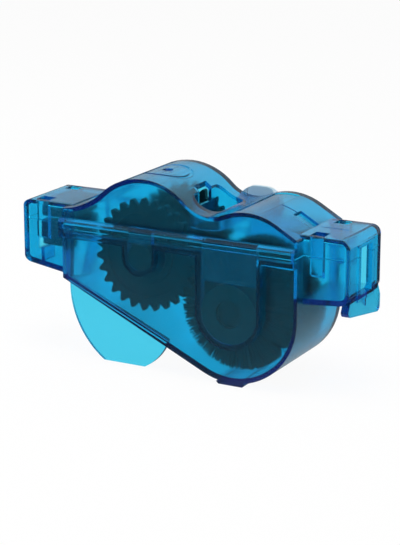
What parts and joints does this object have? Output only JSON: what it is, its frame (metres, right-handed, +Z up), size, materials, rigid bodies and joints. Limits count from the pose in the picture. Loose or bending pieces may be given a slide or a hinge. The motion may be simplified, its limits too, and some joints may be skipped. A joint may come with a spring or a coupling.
{
  "type": "bicycle chain cleaner",
  "caption": "Clear blue chain-cleaning case: wave-topped cover on a bowl-shaped tank, with a toothed wheel, a brush wheel and foam pads inside.",
  "frame": {"origin": "bottom centre of the bounding box: under the middle of the length and depth, on the plane of the foot and the fin's lower edge", "axes": "+X along the chain from the outlet box to the inlet box, +Y to the back plate, +Z up"},
  "size_m": [0.14, 0.0448, 0.0748],
  "materials": {
    "tank_plastic": "clear moulded",
    "cover_plastic": "clear moulded",
    "loop_plastic": "clear moulded",
    "wheel_plastic": "moulded",
    "journal_plastic": "moulded",
    "axle_plastic": "moulded",
    "bristle_nylon": "nylon",
    "foam": "open-cell foam"
  },
  "bodies": {
    "tank": {"tank": "tank_plastic", "foam_front": "foam", "foam_rear": "foam"},
    "cover": {"cover": "cover_plastic", "strap_loop": "loop_plastic", "foam_top": "foam"},
    "toothed_wheel": {"toothed_axle": "axle_plastic", "toothed_drum": "wheel_plastic", "toothed_front_disc": "wheel_plastic", "toothed_rear_disc": "wheel_plastic", "toothed_front_bristles": "bristle_nylon", "toothed_middle_bristles": "bristle_nylon", "toothed_rear_bristles": "bristle_nylon"},
    "brush_wheel": {"brush_axle": "axle_plastic", "brush_drum": "wheel_plastic", "brush_front_journal": "journal_plastic", "brush_rear_journal": "journal_plastic", "brush_front_bristles": "bristle_nylon", "brush_middle_bristles": "bristle_nylon", "brush_rear_bristles": "bristle_nylon"}
  },
  "joints": [
    {"name": "cover_lift", "type": "slide", "parent": "tank", "child": "cover", "axis": [0, 0, 1], "range_m": [0, 0.045]},
    {"name": "toothed_wheel_spin", "type": "hinge", "parent": "tank", "child": "toothed_wheel", "pos_m": [-0.0133, 0, 0.0449], "axis": [0, 1, 0], "continuous": true},
    {"name": "brush_wheel_spin", "type": "hinge", "parent": "tank", "child": "brush_wheel", "pos_m": [0.0243, 0, 0.028], "axis": [0, 1, 0], "continuous": true}
  ]
}
